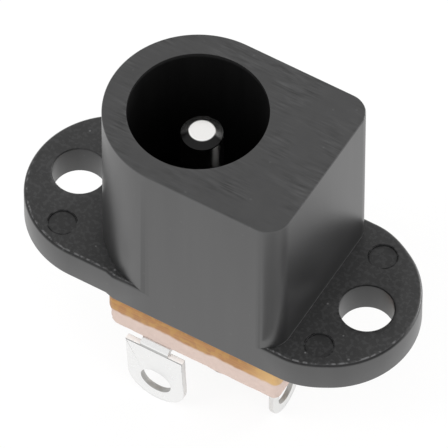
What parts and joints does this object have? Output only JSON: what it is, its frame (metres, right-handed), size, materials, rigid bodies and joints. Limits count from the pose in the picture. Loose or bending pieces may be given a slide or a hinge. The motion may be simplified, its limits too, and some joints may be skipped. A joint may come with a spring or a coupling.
{
  "type": "dc barrel power jack",
  "caption": "Flanged panel-mount barrel power jack: black moulded body with a blind plug bore round a centre pin, brown base board and solder lugs below",
  "frame": {"origin": "midway between the two screw holes, on the flange's face that meets the panel", "axes": "+Z out of the plug bore and away from the solder lugs, +X along the flange to the barrel's squared end, -Y to the centre terminal's lug"},
  "size_m": [0.0194, 0.0086, 0.017],
  "materials": {
    "housing_plastic": "black moulding, satin, finely grained",
    "board_laminate": "blanked paper laminate, clean brown band over a pale broken band",
    "pin_plating": "turned, nickel plated",
    "terminal_tin": "blanked, bright tinned",
    "spring_tin": "spring strip, silvery tinned"
  },
  "bodies": {
    "root": {"housing": "housing_plastic", "base_board": "board_laminate", "centre_pin": "pin_plating", "centre_terminal": "terminal_tin", "sleeve_spring": "spring_tin", "switch_contact": "spring_tin"}
  },
  "joints": []
}
